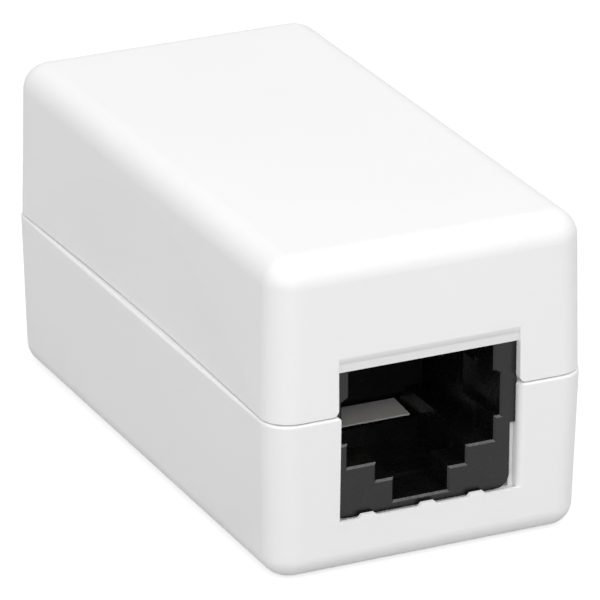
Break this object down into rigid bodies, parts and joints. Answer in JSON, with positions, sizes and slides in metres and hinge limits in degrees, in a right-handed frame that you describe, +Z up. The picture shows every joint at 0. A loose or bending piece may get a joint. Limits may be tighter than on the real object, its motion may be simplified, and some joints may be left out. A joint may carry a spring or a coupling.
{
  "type": "in-line network coupler",
  "caption": "White two-part box that joins two network cables: a modular jack in each end, wired straight through on a small circuit board under a lift-off cover.",
  "frame": {"origin": "centre of the case's underside", "axes": "+Z up, +Y from the front socket to the rear socket, +X to the right for someone facing the front socket"},
  "size_m": [0.026, 0.0486, 0.0253],
  "materials": {
    "white_case": "fine satin moulded plastic",
    "black_housing": "smooth moulded plastic with a low shine",
    "black_carrier": "smooth moulded plastic",
    "gold_contacts": "gold-plated spring wire",
    "green_board": "green solder mask on glass-fibre board",
    "copper_traces": "copper under solder mask, tinned at the pads",
    "solder": "bright solder"
  },
  "bodies": {
    "base": {"base_shell": "white_case", "circuit_board": "green_board", "board_traces": "copper_traces", "front_jack_housing": "black_housing", "front_contact_carrier": "black_carrier", "front_contact_leads": "gold_contacts", "front_solder_joints": "solder", "rear_jack_housing": "black_housing", "rear_contact_carrier": "black_carrier", "rear_contact_leads": "gold_contacts", "rear_solder_joints": "solder"},
    "cover": {"cover_shell": "white_case"},
    "front_contact_1": {"front_contact_1": "gold_contacts"},
    "front_contact_2": {"front_contact_2": "gold_contacts"},
    "front_contact_3": {"front_contact_3": "gold_contacts"},
    "front_contact_4": {"front_contact_4": "gold_contacts"},
    "front_contact_5": {"front_contact_5": "gold_contacts"},
    "front_contact_6": {"front_contact_6": "gold_contacts"},
    "front_contact_7": {"front_contact_7": "gold_contacts"},
    "front_contact_8": {"front_contact_8": "gold_contacts"},
    "rear_contact_1": {"rear_contact_1": "gold_contacts"},
    "rear_contact_2": {"rear_contact_2": "gold_contacts"},
    "rear_contact_3": {"rear_contact_3": "gold_contacts"},
    "rear_contact_4": {"rear_contact_4": "gold_contacts"},
    "rear_contact_5": {"rear_contact_5": "gold_contacts"},
    "rear_contact_6": {"rear_contact_6": "gold_contacts"},
    "rear_contact_7": {"rear_contact_7": "gold_contacts"},
    "rear_contact_8": {"rear_contact_8": "gold_contacts"}
  },
  "joints": [
    {"name": "cover_lift", "type": "slide", "parent": "base", "child": "cover", "axis": [0, 0, 1], "range_m": [0, 0.03]},
    {"name": "front_contact_1_flex", "type": "hinge", "parent": "base", "child": "front_contact_1", "pos_m": [-0.00406, -0.02075, 0.01615], "axis": [1, 0, 0], "range_deg": [0, 11]},
    {"name": "front_contact_2_flex", "type": "hinge", "parent": "base", "child": "front_contact_2", "pos_m": [-0.00304, -0.02075, 0.01615], "axis": [1, 0, 0], "range_deg": [0, 11]},
    {"name": "front_contact_3_flex", "type": "hinge", "parent": "base", "child": "front_contact_3", "pos_m": [-0.00202, -0.02075, 0.01615], "axis": [1, 0, 0], "range_deg": [0, 11]},
    {"name": "front_contact_4_flex", "type": "hinge", "parent": "base", "child": "front_contact_4", "pos_m": [-0.00101, -0.02075, 0.01615], "axis": [1, 0, 0], "range_deg": [0, 11]},
    {"name": "front_contact_5_flex", "type": "hinge", "parent": "base", "child": "front_contact_5", "pos_m": [0.00001, -0.02075, 0.01615], "axis": [1, 0, 0], "range_deg": [0, 11]},
    {"name": "front_contact_6_flex", "type": "hinge", "parent": "base", "child": "front_contact_6", "pos_m": [0.00102, -0.02075, 0.01615], "axis": [1, 0, 0], "range_deg": [0, 11]},
    {"name": "front_contact_7_flex", "type": "hinge", "parent": "base", "child": "front_contact_7", "pos_m": [0.00204, -0.02075, 0.01615], "axis": [1, 0, 0], "range_deg": [0, 11]},
    {"name": "front_contact_8_flex", "type": "hinge", "parent": "base", "child": "front_contact_8", "pos_m": [0.00306, -0.02075, 0.01615], "axis": [1, 0, 0], "range_deg": [0, 11]},
    {"name": "rear_contact_1_flex", "type": "hinge", "parent": "base", "child": "rear_contact_1", "pos_m": [0.00406, 0.02075, 0.01615], "axis": [-1, 0, 0], "range_deg": [0, 11]},
    {"name": "rear_contact_2_flex", "type": "hinge", "parent": "base", "child": "rear_contact_2", "pos_m": [0.00304, 0.02075, 0.01615], "axis": [-1, 0, 0], "range_deg": [0, 11]},
    {"name": "rear_contact_3_flex", "type": "hinge", "parent": "base", "child": "rear_contact_3", "pos_m": [0.00202, 0.02075, 0.01615], "axis": [-1, 0, 0], "range_deg": [0, 11]},
    {"name": "rear_contact_4_flex", "type": "hinge", "parent": "base", "child": "rear_contact_4", "pos_m": [0.00101, 0.02075, 0.01615], "axis": [-1, 0, 0], "range_deg": [0, 11]},
    {"name": "rear_contact_5_flex", "type": "hinge", "parent": "base", "child": "rear_contact_5", "pos_m": [-0.00001, 0.02075, 0.01615], "axis": [-1, 0, 0], "range_deg": [0, 11]},
    {"name": "rear_contact_6_flex", "type": "hinge", "parent": "base", "child": "rear_contact_6", "pos_m": [-0.00102, 0.02075, 0.01615], "axis": [-1, 0, 0], "range_deg": [0, 11]},
    {"name": "rear_contact_7_flex", "type": "hinge", "parent": "base", "child": "rear_contact_7", "pos_m": [-0.00204, 0.02075, 0.01615], "axis": [-1, 0, 0], "range_deg": [0, 11]},
    {"name": "rear_contact_8_flex", "type": "hinge", "parent": "base", "child": "rear_contact_8", "pos_m": [-0.00306, 0.02075, 0.01615], "axis": [-1, 0, 0], "range_deg": [0, 11]}
  ],
  "couplings": [
    {"joint": "front_contact_2_flex", "follows": "front_contact_1_flex", "ratio": 1},
    {"joint": "front_contact_3_flex", "follows": "front_contact_1_flex", "ratio": 1},
    {"joint": "front_contact_4_flex", "follows": "front_contact_1_flex", "ratio": 1},
    {"joint": "front_contact_5_flex", "follows": "front_contact_1_flex", "ratio": 1},
    {"joint": "front_contact_6_flex", "follows": "front_contact_1_flex", "ratio": 1},
    {"joint": "front_contact_7_flex", "follows": "front_contact_1_flex", "ratio": 1},
    {"joint": "front_contact_8_flex", "follows": "front_contact_1_flex", "ratio": 1},
    {"joint": "rear_contact_2_flex", "follows": "rear_contact_1_flex", "ratio": 1},
    {"joint": "rear_contact_3_flex", "follows": "rear_contact_1_flex", "ratio": 1},
    {"joint": "rear_contact_4_flex", "follows": "rear_contact_1_flex", "ratio": 1},
    {"joint": "rear_contact_5_flex", "follows": "rear_contact_1_flex", "ratio": 1},
    {"joint": "rear_contact_6_flex", "follows": "rear_contact_1_flex", "ratio": 1},
    {"joint": "rear_contact_7_flex", "follows": "rear_contact_1_flex", "ratio": 1},
    {"joint": "rear_contact_8_flex", "follows": "rear_contact_1_flex", "ratio": 1}
  ]
}
